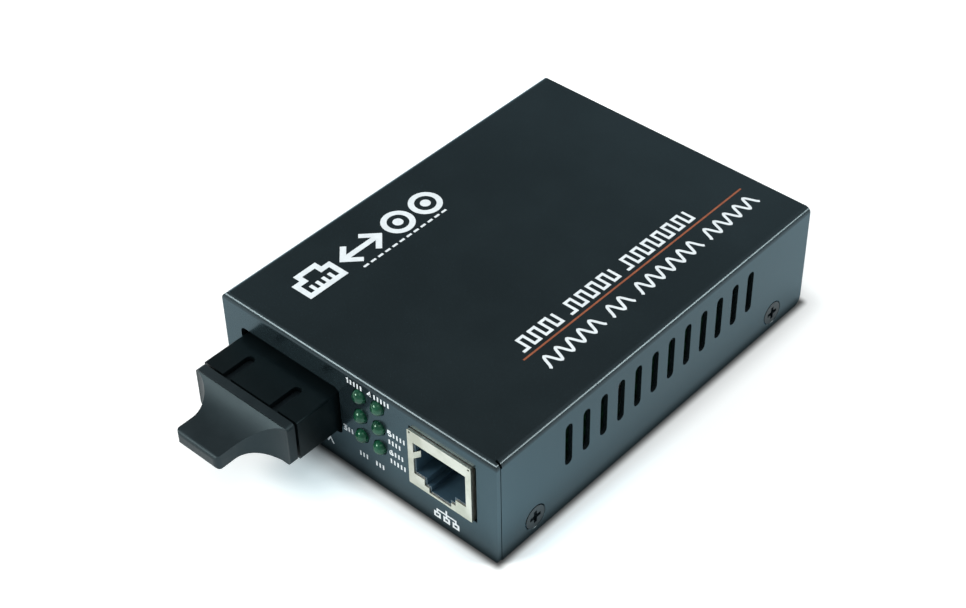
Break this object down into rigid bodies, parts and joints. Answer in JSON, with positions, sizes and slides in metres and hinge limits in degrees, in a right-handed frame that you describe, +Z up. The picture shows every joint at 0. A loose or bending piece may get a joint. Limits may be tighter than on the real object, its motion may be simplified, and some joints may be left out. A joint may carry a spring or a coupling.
{
  "type": "fibre media converter",
  "caption": "Small metal box that joins a copper network line to a pair of optical fibres, with a pull-out dust plug in its optical receptacle.",
  "frame": {"origin": "centre of the case's flat underside", "axes": "+Z up, -Y the way the front panel faces, +Y the rear with the power inlet, +X to the right seen from the front"},
  "size_m": [0.07, 0.1179, 0.025],
  "materials": {
    "case_paint": "satin black powder paint with a blue cast",
    "black_screw": "blackened steel",
    "board_laminate": "green solder mask",
    "plated_steel": "tin and zinc plate",
    "module_plastic": "moulded black",
    "plug_rubber": "moulded black rubber",
    "nickel_metal": "nickel plate",
    "zirconia": "white ceramic",
    "gilt_metal": "gold flash",
    "lamp_green": "green tinted epoxy",
    "shield_metal": "tinned bronze sheet",
    "socket_plastic": "blue-black moulding",
    "part_plastic": "black moulding compound",
    "ferrite": "dark grey ferrite",
    "capacitor_sleeve": "shrunk sleeve"
  },
  "bodies": {
    "converter": {"top_cover": "case_paint", "bottom_tray": "case_paint", "case_screws": "black_screw", "circuit_board": "board_laminate", "board_standoffs": "plated_steel", "board_screws": "plated_steel", "transceiver_housing": "module_plastic", "optical_barrels": "nickel_metal", "ferrule_sleeves": "zirconia", "laser_can": "nickel_metal", "detector_can": "nickel_metal", "module_board": "board_laminate", "module_base": "module_plastic", "module_pins": "gilt_metal", "lamp_holder": "part_plastic", "lamp_leads": "plated_steel", "socket_shield": "shield_metal", "socket_insert": "socket_plastic", "socket_contacts": "gilt_metal", "power_inlet": "part_plastic", "inlet_pin": "nickel_metal", "inlet_spring": "nickel_metal", "network_transformer": "part_plastic", "converter_chip": "part_plastic", "line_chip": "part_plastic", "crystal": "nickel_metal", "power_inductor": "ferrite", "voltage_regulator": "part_plastic", "storage_capacitors": "capacitor_sleeve", "lamp_1": "lamp_green", "lamp_2": "lamp_green", "lamp_3": "lamp_green", "lamp_4": "lamp_green", "lamp_5": "lamp_green", "lamp_6": "lamp_green"},
    "plug": {"dust_plug": "plug_rubber"}
  },
  "joints": [
    {"name": "dust_plug_pull", "type": "slide", "parent": "converter", "child": "plug", "axis": [0, -1, 0], "range_m": [0, 0.012]}
  ]
}
